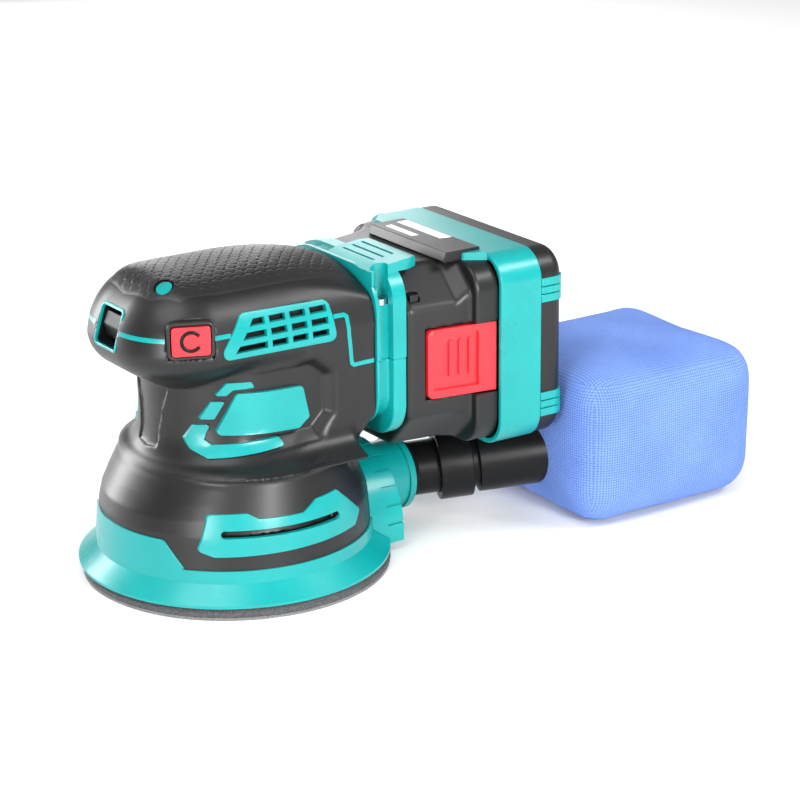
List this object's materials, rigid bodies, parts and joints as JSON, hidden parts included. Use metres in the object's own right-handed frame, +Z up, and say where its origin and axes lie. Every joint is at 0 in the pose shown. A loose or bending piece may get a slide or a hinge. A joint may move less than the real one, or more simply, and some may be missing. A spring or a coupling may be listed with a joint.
{
  "type": "cordless palm sander polisher",
  "caption": "Cordless palm random-orbit sander and polisher with a round hook-and-loop pad, slide-on battery and cloth dust bag.",
  "frame": {"origin": "on the motor's axis, in the plane of the pad's working face", "axes": "-Y towards the nose, +Y towards the battery and the dust bag, +X towards the mode button, +Z up along the motor's axis"},
  "size_m": [0.1269, 0.2862, 0.128],
  "materials": {
    "charcoal_plastic": "satin moulded",
    "soft_grip": "matt, embossed",
    "teal_plastic": "satin moulded",
    "red_plastic": "satin moulded",
    "gloss_black": "glossy",
    "steel": "bright",
    "brass_contact": "bright",
    "copper_winding": "enamelled",
    "aluminium": "machined",
    "dark_nylon": "glass filled",
    "circuit_board": "solder mask",
    "wire": "insulation",
    "cell_wrap": "shrink wrap",
    "pad_foam": "closed cell foam",
    "hook_fabric": "hook fabric",
    "blue_cloth": "basket weave"
  },
  "bodies": {
    "housing": {"lower_housing": "charcoal_plastic", "upper_housing": "charcoal_plastic", "palm_grip": "soft_grip", "parting_trim": "teal_plastic", "slot_panels": "teal_plastic", "vent_panels": "teal_plastic", "side_panels": "teal_plastic", "side_tiles": "teal_plastic", "grip_plug": "teal_plastic", "nose_bezel": "teal_plastic", "rocker_pin": "steel", "switch_body": "charcoal_plastic", "button_frame": "charcoal_plastic", "base_skirt": "teal_plastic", "pad_brake": "soft_grip", "dust_port": "teal_plastic", "battery_mount_upper": "teal_plastic", "battery_mount_lower": "teal_plastic", "mount_screws": "steel", "battery_rail": "charcoal_plastic", "rail_contacts": "brass_contact", "stator_core": "steel", "stator_coils": "copper_winding", "motor_can": "aluminium", "upper_bearing": "steel", "lower_bearing": "steel", "upper_bearing_cap": "dark_nylon", "motor_plate": "dark_nylon", "control_board": "circuit_board", "power_leads": "wire"},
    "rocker": {"power_rocker": "gloss_black"},
    "mode_key": {"mode_button": "red_plastic"},
    "battery": {"battery_case": "charcoal_plastic", "battery_band": "teal_plastic", "battery_cap": "charcoal_plastic", "cap_tabs": "teal_plastic", "label_block": "charcoal_plastic", "battery_cells": "cell_wrap", "cell_strips": "steel", "battery_board": "circuit_board", "latch_spring": "steel"},
    "release": {"release_button": "red_plastic", "battery_latch": "dark_nylon"},
    "rotor": {"motor_shaft": "steel", "rotor_core": "steel", "rotor_magnets": "steel", "shaft_bearing_rings": "steel", "cooling_fan": "dark_nylon", "eccentric_weight": "aluminium", "pad_bearing": "steel"},
    "pad": {"pad_bearing_ring": "steel", "pad_spindle": "aluminium", "pad_plate": "dark_nylon", "pad_foam": "pad_foam", "hook_face": "hook_fabric", "pad_screws": "steel"},
    "bag": {"dust_pipe": "gloss_black", "pipe_clip": "gloss_black", "bag_collar": "gloss_black", "dust_bag": "blue_cloth"}
  },
  "joints": [
    {"name": "rotor_spin", "type": "hinge", "parent": "housing", "child": "rotor", "pos_m": [0, 0, 0.06], "axis": [0, 0, 1], "continuous": true},
    {"name": "pad_spin", "type": "hinge", "parent": "rotor", "child": "pad", "pos_m": [0.00125, 0, 0.02], "axis": [0, 0, 1], "continuous": true},
    {"name": "power_rocker_tilt", "type": "hinge", "parent": "housing", "child": "rocker", "pos_m": [0, -0.0475, 0.1082], "axis": [1, 0, 0], "range_deg": [0, 6]},
    {"name": "mode_button_press", "type": "slide", "parent": "housing", "child": "mode_key", "axis": [-0.9205, 0.3907, 0], "range_m": [0, 0.0012], "stiffness_N_per_m": 600, "springref_m": -0.001},
    {"name": "battery_slide", "type": "slide", "parent": "housing", "child": "battery", "axis": [1, 0, 0], "range_m": [0, 0.12]},
    {"name": "release_pull", "type": "slide", "parent": "battery", "child": "release", "axis": [0, 1, 0], "range_m": [0, 0.004], "stiffness_N_per_m": 900, "springref_m": -0.002, "deforming": ["latch_spring"]},
    {"name": "dust_bag_pull", "type": "slide", "parent": "housing", "child": "bag", "axis": [0, 1, 0], "range_m": [0, 0.04]}
  ]
}
